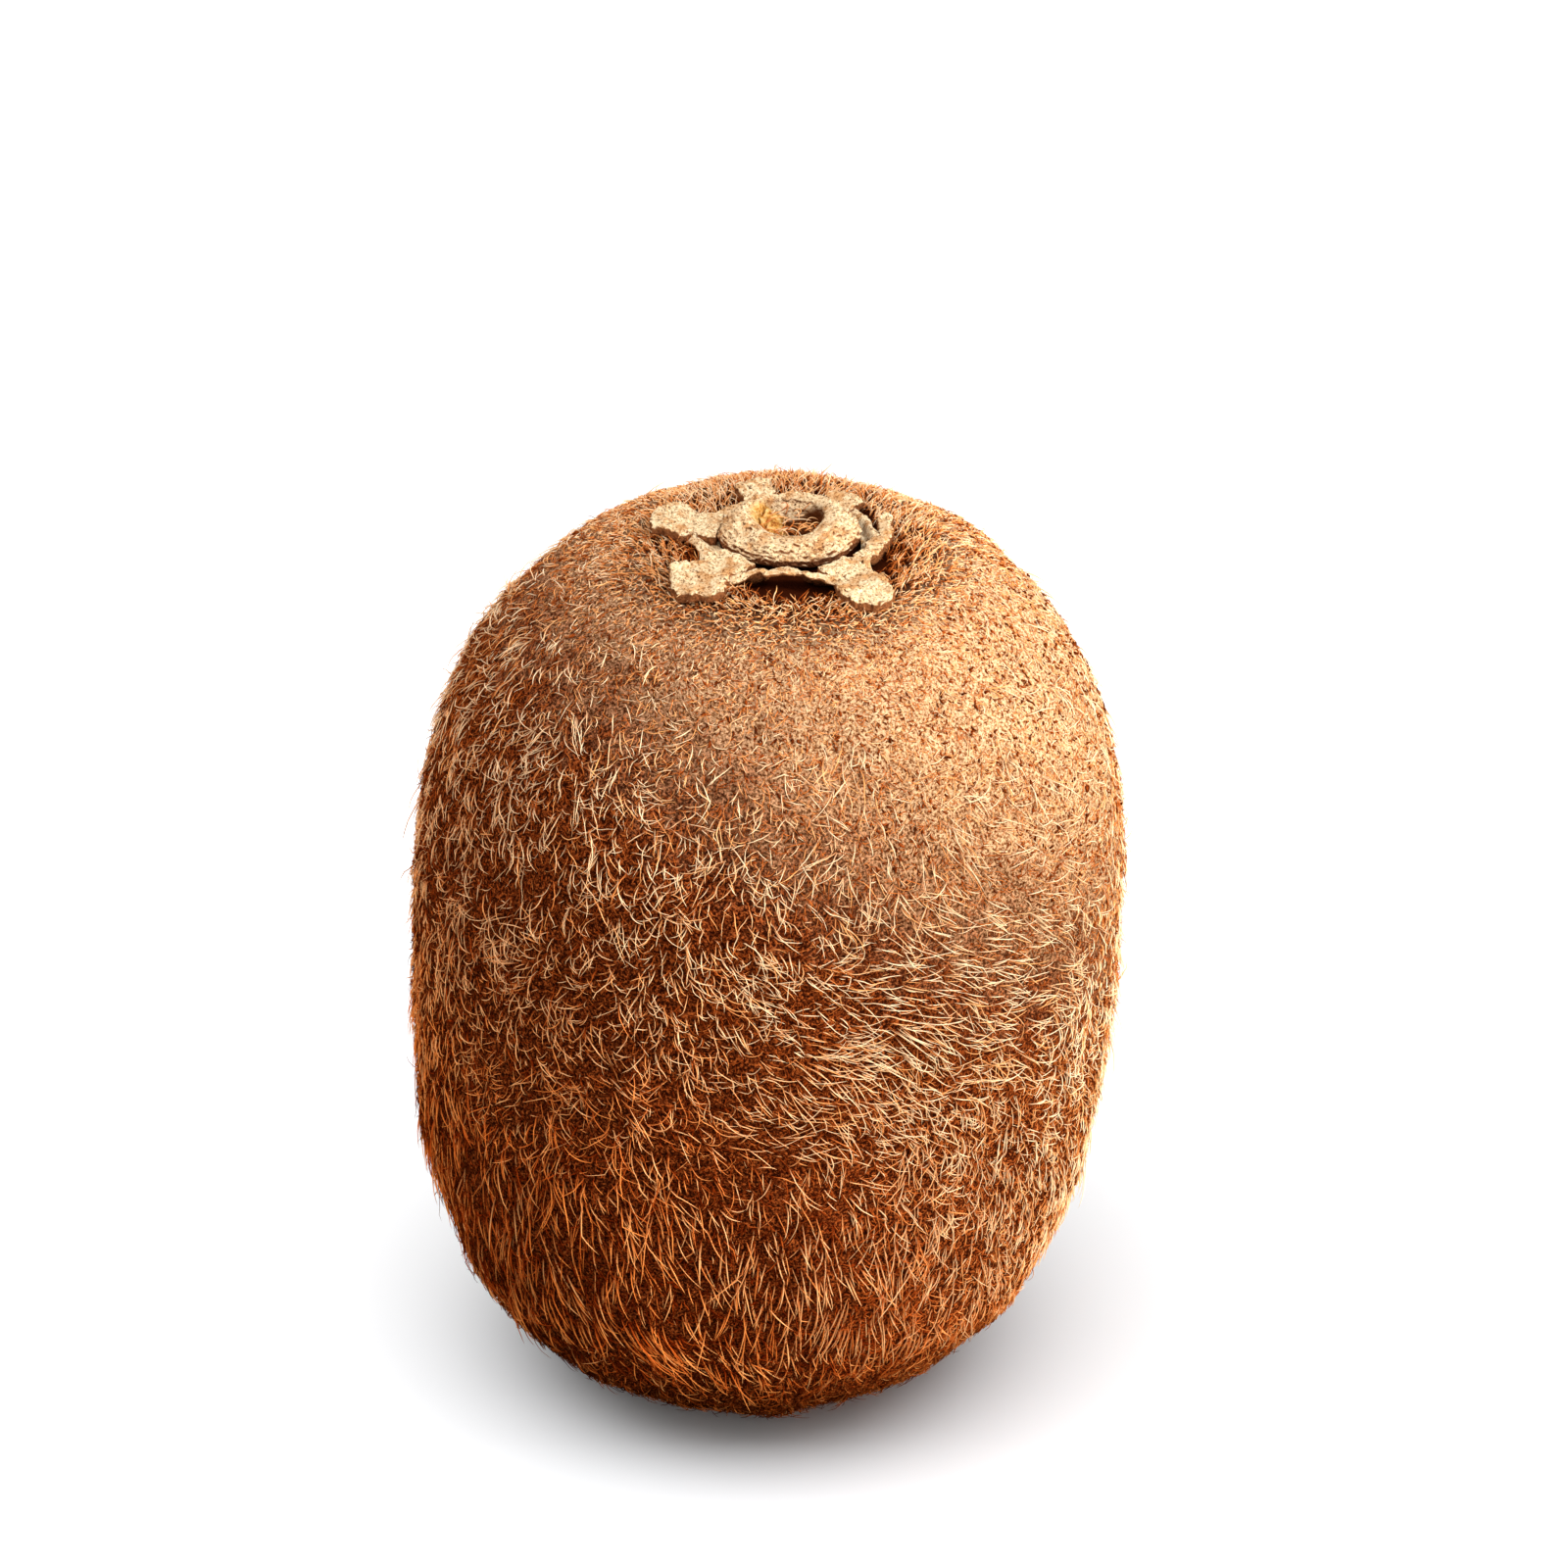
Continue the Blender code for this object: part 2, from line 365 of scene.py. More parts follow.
def cork_material(name, colours):
    """Dry cork: pale crumbly tops with dark specks, and darker walls, browner in part and in part
    painted shade.
    """
    light, middle, dark, wall = colours
    material, link, shader, node = new_material(name, 0.92)
    place = node("TexCoord")
    crumbs = noise_at(node, link, place, 0.20 * MM, 3.0, 0.75)
    stains = noise_at(node, link, place, 1.1 * MM, 3.0, 0.6)
    body = ramp(node, ((0.36, dark), (0.45, middle), (0.60, light)))
    link(crumbs.outputs[0], body.inputs[0])
    stain = ramp(node, ((0.38, (0.62, 0.36, 0.17)), (0.54, (1, 1, 1))))
    link(stains.outputs[0], stain.inputs[0])
    colour = mixed(node, link, 0.8, body.outputs[0], stain.outputs[0], "MULTIPLY")
    # Painted shade, in part: the more a face slopes, the more it takes the darker wall colour.
    facing = node("SeparateXYZ")
    link(place.outputs["Normal"], facing.inputs[0])
    wall_shade = node("MapRange", interpolation_type="SMOOTHSTEP")
    wall_shade.inputs["From Min"].default_value = 0.15
    wall_shade.inputs["From Max"].default_value = 0.70
    link(facing.outputs["Z"], wall_shade.inputs["Value"])
    side = ramp(node, ((0.38, dark), (0.56, wall)))
    link(crumbs.outputs[0], side.inputs[0])
    colour = mixed(node, link, wall_shade.outputs[0], side.outputs[0], colour)
    link(colour, shader.inputs["Base Color"])
    bumped(node, link, shader, crumbs.outputs[0], 0.22 * MM)
    return material, link, shader, node, place, colour


def scar_material():
    """The ring's cork, golden on one side of its hollow, with painted shade near black in its hole on
    the other.
    """
    material, link, shader, node, place, colour = cork_material("stem_cork", SCAR_COLOURS)
    streaks = noise_at(node, link, place, 0.35 * MM, 3.0, 0.7)
    gold = ramp(node, (
        (0.38, (0.30, 0.09, 0.02)),
        (0.50, (0.66, 0.33, 0.07)),
        (0.64, (0.84, 0.62, 0.28)),
    ))
    link(streaks.outputs[0], gold.inputs[0])
    lump = (STEM_X - 1.3 * MM, HOLLOW_BACK + 0.1 * MM, SCAR_TOP - 0.9 * MM)
    reach = reach_of(node, link, place, lump, 1.2 * MM, 2.1 * MM)
    colour = mixed(node, link, reach, gold.outputs[0], colour)
    # Painted shade: the hole in the hollow is coloured near black.
    hole = (STEM_X + 1.0 * MM, HOLLOW_BACK + 0.3 * MM, SCAR_TOP - 1.6 * MM)
    hole_shade = reach_of(node, link, place, hole, 1.3 * MM, 2.2 * MM)
    colour = mixed(node, link, hole_shade, (0.070, 0.020, 0.006), colour)
    link(colour, shader.inputs["Base Color"])
    return material


# ------------------------------ meshes
def add_piece(name, mesh, material, slot, *nodes):
    """Shows a mesh as a piece of the fruit, in place of the CAD nodes named."""
    mesh.materials.append(material)
    mesh.shade_smooth()
    piece = bpy.data.objects.new(name, mesh)
    bpy.context.scene.collection.objects.link(piece)
    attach(piece, "root")
    if nodes:
        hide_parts(*nodes)


def loft(name, points, ring_rows=False):
    """A closed mesh through a grid of points, each row a closed loop.

    With ring_rows the rows join up too; without, each end row is one point.
    """
    rows, columns = points.shape[:2]
    shape = bmesh.new()
    grid = [[shape.verts.new(point) for point in row] for row in points.tolist()]
    last = rows if ring_rows else rows - 1
    for row in range(last):
        here, there = grid[row], grid[(row + 1) % rows]
        for column in range(columns):
            after = (column + 1) % columns
            shape.faces.new((here[column], here[after], there[after], there[column]))
    bmesh.ops.remove_doubles(shape, verts=shape.verts, dist=0.001 * MM)
    bmesh.ops.recalc_face_normals(shape, faces=shape.faces)
    mesh = bpy.data.meshes.new(name)
    shape.to_mesh(mesh)
    shape.free()
    return mesh


def add_skin():
    """The skin, a ball of fine faces moved onto the fruit's surface, with lumps."""
    shape = bmesh.new()
    bmesh.ops.create_uvsphere(shape, u_segments=SKIN_COLUMNS, v_segments=SKIN_ROWS, radius=1.0)
    # The ball's faces come in an order that changes from run to run, so they are sorted.
    shape.verts.index_update()
    corners = len(shape.verts)
    shape.faces.sort(key=lambda face: face.verts[0].index * corners + face.verts[2].index)
    mesh = bpy.data.meshes.new("skin")
    shape.to_mesh(mesh)
    shape.free()
    places = np.empty(len(mesh.vertices) * 3)
    mesh.vertices.foreach_get("co", places)
    x, y, z = places.reshape(-1, 3).T
    latitude, longitude = np.arcsin(np.clip(z, -1, 1)), np.arctan2(y, x)
    points, normals, _, _ = skin_frames(latitude, longitude)
    lumps = skin_lumps(points) + 0.03 * MM * waves(points, 1.1 * MM, 3, 24)
    points += normals * lumps[:, None]
    points[:, 2] = np.maximum(points[:, 2], SKIN_CLEAR)
    mesh.vertices.foreach_set("co", points.ravel())
    mesh.update()
    add_piece("skin", mesh, skin_material(), "fruit_skin", "fruit")


def add_stem_scar():
    """The woody ring: a turned profile with ridges, cracks and an uneven hollow."""
    height = SCAR_TOP - SCAR_BASE
    profile = np.array([
        (0.00, 0.02), (0.24, 0.00), (0.36, 0.06), (0.43, 0.40), (0.49, 0.80),
        (0.57, 0.94), (0.66, 1.00), (0.75, 0.94), (0.85, 0.80), (0.94, 0.60),
        (0.99, 0.34), (0.98, 0.12), (0.94, 0.00), (0.50, -0.10), (0.00, -0.12),
    ])
    rows, columns = 130, 260
    ring_back, ridge_pitch = 0.5 * MM, 0.42 * MM
    at = np.linspace(0, len(profile) - 1, rows)
    radius = np.interp(at, np.arange(len(profile)), profile[:, 0]) * SCAR_RADIUS * 0.96
    rise = np.interp(at, np.arange(len(profile)), profile[:, 1]) * height
    turn = np.linspace(0, 2 * math.pi, columns, endpoint=False)
    around = np.stack([np.cos(turn), np.sin(turn), 0 * turn], -1)
    uneven = 1 + 0.05 * waves(around, 1.6, 11) + 0.02 * waves(around, 0.5, 12)
    radii = radius[:, None] * (1 + (uneven - 1) * smooth_step(0, HOLLOW_RADIUS, radius)[:, None])
    inner = smooth_step(SCAR_RADIUS, 0.4 * SCAR_RADIUS, radius)[:, None]
    x = radii * np.cos(turn)
    y = radii * np.sin(turn) * (0.89 + 0.21 * inner) + ring_back + (HOLLOW_BACK - ring_back) * inner
    z = SCAR_BASE + rise[:, None] + 0 * radii
    top = smooth_step(0.3 * height, 0.8 * height, rise)[:, None]
    outside = smooth_step(0.6 * SCAR_RADIUS, 0.9 * SCAR_RADIUS, radius)[:, None]
    ridges = np.sin(radii / ridge_pitch * 2 * math.pi + 1.5 * waves(around, 0.8, 16))
    frontward = 0.4 + 0.6 * smooth_step(0.3, -0.8, np.sin(turn))
    z = z + 0.07 * MM * ridges * outside * frontward * top
    z = z - 0.35 * MM * top * smooth_step(0.2, 1.0, np.abs(np.sin(turn + 0.2)))
    # A lump rises from the hollow's floor, a little to the left of its middle.
    beside = (x + 1.2 * MM) / (1.0 * MM)
    beyond = (y - HOLLOW_BACK - 0.3 * MM) / (1.4 * MM)
    lump = np.exp(-(beside ** 2 + beyond ** 2) ** 1.5)
    hollow_floor = (rise < 0.3 * height) & (np.arange(rows) < rows / 3)
    z = z + 0.95 * MM * lump * hollow_floor[:, None]
    points = np.stack([STEM_X + x, y, z], -1)
    rough = 0.045 * waves(points, 1.3 * MM, 13) + 0.035 * waves(points, 0.5 * MM, 14, 24)
    rough = (rough + 0.022 * waves(points, 0.25 * MM, 15, 30)) * MM
    fade = smooth_step(0.0, 0.6 * MM, radii)
    points[..., 2] += rough * fade * (rise > 0)[:, None]
    outwards = np.stack([np.cos(turn), np.sin(turn), 0 * turn], -1)
    points += outwards * (rough * fade)[..., None]
    mesh = loft("stem_scar_ring", points)
    add_piece("stem_scar_ring", mesh, scar_material(), "stem_wood", "stem_scar")


def crumpled(points, seed, strength=1.0):
    """Height of the small crumples of dry cork at each point."""
    rough = 0.05 * waves(points, 1.4 * MM, seed) + 0.04 * waves(points, 0.5 * MM, seed + 1, 20)
    rough += 0.028 * waves(points, 0.24 * MM, seed + 2, 30)
    return strength * MM * rough


def squared(value, power):
    """A sine or cosine squared up: towards a box as power goes to 0."""
    return np.sign(value) * np.abs(value) ** power


def add_sepal(name, bearing, reach, widths, shoulder, rises, seed, material):
    """One sepal: a flat tab from under the ring, angular and ragged at its end.

    reach is from the ring's middle to the end.  widths are at the root, the
    waist, the shoulder and the end, and shoulder is its place, 0 to 1, on the
    way.  rises are the middle's height over the skin at the root and at the end.
    """
    rows, columns = 96, 120
    along = np.linspace(0, 1, rows)[:, None]
    turn = np.linspace(0, 2 * math.pi, columns, endpoint=False)[None, :]
    start = SCAR_RADIUS - 0.2 * MM
    tip = np.clip(1 - along ** 16, 0, 1) ** (1 / 3)
    half = np.interp(along, (0, 0.35, shoulder, 1), widths) / 2
    thick = 0.42 * MM * tip ** 0.4
    across = half * tip * squared(np.cos(turn), 0.4)
    up = thick * squared(np.sin(turn), 0.4)
    outwards = start + (reach - start) * along + 0 * turn
    edge = np.stack([outwards, across, 0 * across], -1)
    uneven = 0.12 * waves(edge, 1.7 * MM, seed) + 0.06 * waves(edge, 0.5 * MM, seed + 3)
    outwards = outwards + uneven * MM * along
    ragged = 0.12 * waves(edge, 1.3 * MM, seed + 5) + 0.06 * waves(edge, 0.45 * MM, seed + 6)
    across = across + ragged * MM * smooth_step(0, 0.2, along)
    bearing = math.radians(bearing)
    x = STEM_X + outwards * math.cos(bearing) - across * math.sin(bearing)
    y = outwards * math.sin(bearing) + across * math.cos(bearing)
    rise = rises[0] + (rises[1] - rises[0]) * smooth_step(0.1, 1.0, along)
    rise = rise + 0.18 * MM * (across / (widths[2] / 2)) ** 2
    rise = rise - 0.22 * MM * np.exp(-((along - 0.4) / 0.2) ** 2)
    points = np.stack([x, y, top_height(x, y) + rise + up], -1)
    points[..., 2] += crumpled(points, seed + 8) * tip
    points[0] = points[0].mean(0)
    points[-1] = points[-1].mean(0)
    mesh = loft(name, points)
    add_piece(name + "_cork", mesh, material, "sepal_cork", name)


# Bearings are in degrees and lengths in mm; add_sepal says what the values mean.
SEPALS = {
    # name: bearing, reach, widths, shoulder, rises
    "sepal_back_right": (56, 7.8, (3.0, 2.4, 2.8, 1.8), 0.75, (0.6, 0.5)),
    "sepal_back": (110, 8.2, (2.6, 2.2, 2.8, 2.2), 0.75, (0.6, 0.7)),
    "sepal_left": (169, 9.9, (3.4, 3.0, 4.6, 3.0), 0.70, (0.8, 0.8)),
    "sepal_front_left": (225, 11.2, (3.2, 3.0, 5.2, 1.4), 0.68, (1.0, 0.5)),
    "sepal_front_right": (306, 10.8, (2.8, 2.8, 4.3, 1.6), 0.68, (1.0, 0.5)),
}


def add_right_sepal(material):
    """The right sepal, broken down to a thin curved wall beside the ring."""
    rows, columns = 110, 60
    along = np.linspace(0, 1, rows)[:, None]
    turn = np.linspace(0, 2 * math.pi, columns, endpoint=False)[None, :]
    tip = np.clip(1 - np.abs(2 * along - 1) ** 10, 0, 1) ** (1 / 3)
    first, last = -36, 26        # bearings of its two ends, in degrees
    bearing = np.radians(first + (last - first) * along)
    half = (0.42 + 0.20 * np.sin(math.pi * along)) * MM
    across = half * tip * squared(np.cos(turn), 0.4)
    edge = np.stack([8 * MM * along + 0 * turn, across, 0 * across], -1)
    ragged = 0.12 * waves(edge, 1.2 * MM, 91) + 0.06 * waves(edge, 0.4 * MM, 92)
    across = across + ragged * MM * tip
    radius = 5.6 * MM + 1.7 * MM * along ** 1.5 + across
    x = STEM_X + radius * np.cos(bearing)
    y = radius * np.sin(bearing)
    up = 0.45 * MM * tip ** 0.4 * squared(np.sin(turn), 0.4)
    points = np.stack([x, y, top_height(x, y) + 0.75 * MM + up], -1)
    points[..., 2] += crumpled(points, 93) * tip
    points[0] = points[0].mean(0)
    points[-1] = points[-1].mean(0)
    mesh = loft("sepal_right", points)
    add_piece("sepal_right_cork", mesh, material, "sepal_cork", "sepal_right")


def add_collar(material):
    """The thin dry sheet that flares up from the ring's foot, webbed between sepals."""
    rows, columns = 360, 64
    turn = np.linspace(0, 2 * math.pi, rows, endpoint=False)[:, None]
    loop = np.linspace(0, 2 * math.pi, columns, endpoint=False)[None, :]
    inner = SCAR_RADIUS - 0.3 * MM
    outer = 6.1 * MM + 0 * turn
    for name, (bearing, reach, *_) in SEPALS.items():
        away = np.abs((turn - math.radians(bearing) + math.pi) % (2 * math.pi) - math.pi)
        spread = math.radians(18 if "front" in name else 22)
        outer = outer + (reach * 0.62 - 4.4) * MM * np.exp(-(away / spread) ** 2)
    around = np.concatenate([np.cos(turn), np.sin(turn), 0 * turn], -1)
    uneven = 0.10 * waves(around, 0.5, 31) + 0.05 * waves(around, 0.12, 32)
    outer = outer + MM * uneven[:, None]
    front = np.exp(-((np.sin(turn) + 1) / 0.22) ** 2)
    back = smooth_step(0.1, 0.9, np.sin(turn))
    share = 0.5 + 0.5 * squared(np.cos(loop), 0.5)      # 0 at the ring, 1 at the lip
    radius = inner + (outer - inner) * share
    x = STEM_X + radius * np.cos(turn)
    y = radius * np.sin(turn)
    floor = top_height(STEM_X + inner * np.cos(turn), inner * np.sin(turn))
    lip = 1.00 * MM + 0.40 * MM * front - 0.45 * MM * back
    # The sheet is low by the ring, but for one stretch at the front that bridges to it.
    bridge = np.exp(-((turn - math.radians(266)) / math.radians(16)) ** 4)
    rise = np.maximum(smooth_step(0.30, 0.75, share), 0.75 * bridge)
    foot = 0.25 * MM
    flare = foot + (lip - foot) * rise
    flare = flare - 0.75 * MM * smooth_step(6.0 * MM, 8.6 * MM, radius) * (np.sin(turn) < 0)
    thick = (0.20 - 0.08 * share) * MM * squared(np.sin(loop), 0.5)
    points = np.stack([x, y, floor + flare + thick + 0 * x], -1)
    points[..., 2] += crumpled(points, 41, 0.8)
    mesh = loft("calyx_collar", points, ring_rows=True)
    add_piece("calyx_collar", mesh, material, "sepal_cork")


def add_blossom_scar():
    """The dark dried knob in the blossom end's dimple."""
    rows, columns = 24, 72
    turn = np.linspace(0, 2 * math.pi, columns, endpoint=False)
    along = np.linspace(0, math.pi, rows)
    radius = (KNOB_HIGH.x - KNOB_LOW.x) / 2
    thick = (KNOB_HIGH.z - KNOB_LOW.z) / 2
    points = np.stack([
        BLOSSOM_X + radius * np.outer(np.sin(along), np.cos(turn)),
        radius * np.outer(np.sin(along), np.sin(turn)),
        (KNOB_LOW.z + thick) + thick * np.outer(np.cos(along), np.ones(columns)),
    ], -1)
    fade = np.sin(along)[:, None]
    points[..., 2] += crumpled(points, 61, 0.8) * fade
    mesh = loft("blossom_knob", points)
    fibre = cork_material("blossom_cork", KNOB_COLOURS)[0]
    add_piece("blossom_knob", mesh, fibre, "blossom_fibre", "blossom_scar")


# ------------------------------ hair
def scatter(rng, count, density):
    """Latitudes and longitudes of roots, as dense as density says per area."""
    rows, columns = 240, 480
    latitude = (np.arange(rows) + 0.5) / rows * math.pi - math.pi / 2
    longitude = (np.arange(columns) + 0.5) / columns * 2 * math.pi - math.pi
    latitude, longitude = [grid.ravel() for grid in np.meshgrid(latitude, longitude, indexing="ij")]
    high, low, span = math.pi / rows / 2, -math.pi / rows / 2, math.pi / columns
    upright = skin_points(latitude + high, longitude) - skin_points(latitude + low, longitude)
    level = skin_points(latitude, longitude + span) - skin_points(latitude, longitude - span)
    area = np.linalg.norm(upright, axis=1) * np.linalg.norm(level, axis=1)
    weight = area * density(skin_points(latitude, longitude))
    cell = rng.choice(len(weight), size=count, p=weight / weight.sum())
    latitude = latitude[cell] + rng.uniform(low, high, count)
    longitude = longitude[cell] + rng.uniform(-span, span, count)
    return latitude, longitude


def from_stem(points):
    """Distance of points from the middle of the stem scar; 1 m for the lower half."""
    away = np.hypot(points[:, 0] - STEM_X, points[:, 1])
    return np.where(points[:, 2] > WIDEST_HEIGHT, away, 1.0)


def pale_and_lit_share(points):
    """How thick the pale down is: 1 on the sunny shoulder, 0 on the far side; its paleness is in part
    painted light.
    """
    along = points @ np.array(SUNNY_SIDE) + 3 * MM * waves(points, 9 * MM, 5)
    return smooth_step(PALE_FROM, PALE_TO, along)


def low_share(points):
    """1 in the belt of long hair round the lower part, 0 elsewhere and at the right."""
    height = points[:, 2]
    belt = smooth_step(33 * MM, 21 * MM, height) * smooth_step(6 * MM, 14 * MM, height)
    return belt * smooth_step(17 * MM, 8 * MM, points[:, 0])


def crown_share(points):
    """1 close round the calyx, 0 away from it."""
    return smooth_step(17 * MM, 10 * MM, from_stem(points))


def high_share(points):
    """1 on the upper part, 0 below the shoulder."""
    return smooth_step(48 * MM, 58 * MM, points[:, 2])


def swept_share(points, longitude):
    """1 where the hair lies level, in a band across the front, 0 away from it."""
    west = np.minimum(longitude - SWEPT_LONGITUDE, 0)
    east = np.maximum(longitude - SWEPT_LONGITUDE, 0)
    middle = SWEPT_HEIGHT + west * 16 * MM
    above = (points[:, 2] - middle) / (10 * MM)
    return np.exp(-(west / 0.75) ** 2 - (east / 0.42) ** 4 - above ** 2)


def right_share(points):
    """1 low down on the right, where the hair is short and dense."""
    return smooth_step(32 * MM, 22 * MM, points[:, 2]) * smooth_step(8 * MM, 17 * MM, points[:, 0])


def gold_and_lit_share(points):
    """1 over the lower right, where the hair is golden; its paleness there is in part painted light."""
    return smooth_step(42 * MM, 26 * MM, points[:, 2]) * smooth_step(1 * MM, 11 * MM, points[:, 0])


def glow_share(points, longitude):
    """1 along a pale band that falls across the front from the left."""
    along = longitude - GLOW_LONGITUDE
    middle = GLOW_HEIGHT - along * 21 * MM
    return np.exp(-((points[:, 2] - middle) / (5 * MM)) ** 2 - (along / 0.65) ** 2)


def dark_share(points):
    """1 where the hair is dark: painted shade near the floor and on the shaded lower left, and a dark
    patch.
    """
    along = points @ np.array(SHADED_SIDE)
    below = smooth_step(15 * MM, 5 * MM, points[:, 2])
    longitude = np.arctan2(points[:, 1], points[:, 0])
    aside = (longitude - PATCH_LONGITUDE) / 0.45
    above = (points[:, 2] - PATCH_HEIGHT) / (8 * MM)
    patch = np.exp(-aside ** 2 - above ** 2)
    return np.maximum(1.1 * below, 0.6 * smooth_step(-12 * MM, 2 * MM, along)) + 0.40 * patch


def heading(points, longitude):
    """The way the hair lies, as an angle from down (0) towards the east."""
    height = points[:, 2]
    wander = 0.40 * waves(points, 14 * MM, 6) + 0.25 * waves(points, 5 * MM, 7)
    swept = swept_share(points, longitude)
    low = smooth_step(34 * MM, 26 * MM, height)
    return wander * (1 - 0.6 * low) * (1 - 0.6 * swept) + 0.22 + 1.2 * swept - 0.08 * low


def strands(rng, latitude, longitude, turn, length, lift, tip_lift, curl, wire, kink, segments):
    """Points along each hair, from its root: an array of (hair, point, xyz).

    turn is the way it lies, lift and tip_lift its rise off the skin at the root
    and the tip, curl its whole turn along the way, wire its random wiggle and
    kink a sudden turn somewhere on it; all are angles.
    """
    points, normals, down, east = skin_frames(latitude, longitude)
    here = points + normals * (skin_lumps(points) - ROOT_DEPTH)[:, None]
    path = [here]
    bend_at = rng.integers(1, segments, len(length))
    roundness = RADIUS_X * (0.5 + 0.5 * smooth_step(4 * MM, 24 * MM, points[:, 2]))
    for step in range(segments):
        share = (step + 0.5) / segments
        turn = turn + curl / segments + wire * rng.normal(0, 1, len(length))
        turn = turn + kink * (bend_at == step)
        rise = lift * (1 - share) ** 1.3 + tip_lift * share - share * length / roundness
        rise = rise + 0.5 * wire * rng.normal(0, 1, len(length))
        flat = np.cos(turn)[:, None] * down + np.sin(turn)[:, None] * east
        way = flat * np.cos(rise)[:, None] + normals * np.sin(rise)[:, None]
        here = here + way * (length / segments)[:, None]
        here[:, 2] = np.maximum(here[:, 2], HAIR_CLEAR)
        path.append(here)
    return np.stack(path, 1), normals


def add_hair(name, path, normals, radius, tone, material):
    """Closed three-sided tubes along the paths, split into pieces below the limit."""
    count, stations = path.shape[:2]
    per_hair = 6 * (stations - 2) + 4
    pieces = math.ceil(count * per_hair / MOST_TRIANGLES)
    order = np.argsort(np.arctan2(path[:, 0, 1], path[:, 0, 0]), kind="stable")
    for number, chosen in enumerate(np.array_split(order, pieces)):
        mesh = tube_mesh(path[chosen], normals[chosen], radius[chosen], tone[chosen])
        add_piece(f"{name}_{number + 1}", mesh, material, "fruit_skin")


def tube_mesh(path, normals, radius, tone):
    """A mesh of three-sided tapered tubes with the map that the hair's colour reads."""
    count, stations = path.shape[:2]
    rings = stations - 1
    share = np.arange(rings) / rings
    along = unit(np.gradient(path, axis=1))
    side = unit(np.cross(along, normals[:, None, :]))
    over = np.cross(side, along)
    thick = radius[:, None] * (1 - TAPER * share ** 1.5)
    corners = np.radians((90.0, 210.0, 330.0))
    ring = (
        side[:, :-1, None] * np.cos(corners)[None, None, :, None]
        + over[:, :-1, None] * np.sin(corners)[None, None, :, None]
    ) * thick[:, :, None, None] + path[:, :-1, None]
    vertices = np.concatenate([ring.reshape(count, rings * 3, 3), path[:, -1:]], 1)
    vertices[..., 2] = np.maximum(vertices[..., 2], TUBE_CLEAR)
    faces, spots = [(0, 2, 1)], [((0, 0.0), (2, 0.0), (1, 0.0))]
    for row in range(rings):
        low, high = row / rings, (row + 1) / rings
        for corner in range(3):
            after = (corner + 1) % 3
            a, b = 3 * row + corner, 3 * row + after
            if row == rings - 1:
                faces.append((a, b, 3 * rings))
                spots.append(((corner, low), (corner + 1, low), (corner + 0.5, high)))
                continue
            c, d = b + 3, a + 3
            faces += [(a, b, c), (a, c, d)]
            spots.append(((corner, low), (corner + 1, low), (corner + 1, high)))
            spots.append(((corner, low), (corner + 1, high), (corner, high)))
    faces = np.array(faces)
    spots = np.array(spots, float)
    spots[..., 0] = MAP_STRIP * (spots[..., 0] - 1.5)
    size = vertices.shape[1]
    index = (faces[None] + size * np.arange(count)[:, None, None]).reshape(-1)
    chart = np.broadcast_to(spots[None], (count, *spots.shape)).copy()
    chart[..., 0] += tone[:, None, None]
    chart[..., 1] = 0.01 + 0.98 * chart[..., 1]
    mesh = bpy.data.meshes.new("hair")
    triangles = len(index) // 3
    mesh.vertices.add(count * size)
    mesh.vertices.foreach_set("co", vertices.ravel())
    mesh.loops.add(len(index))
    mesh.loops.foreach_set("vertex_index", index)
    mesh.polygons.add(triangles)
    mesh.polygons.foreach_set("loop_start", np.arange(triangles) * 3)
    mesh.update(calc_edges=True)
    layer = mesh.uv_layers.new(name="OFBake")
    layer.uv.foreach_set("vector", np.clip(chart, 0.001, 0.999).ravel())
    return mesh


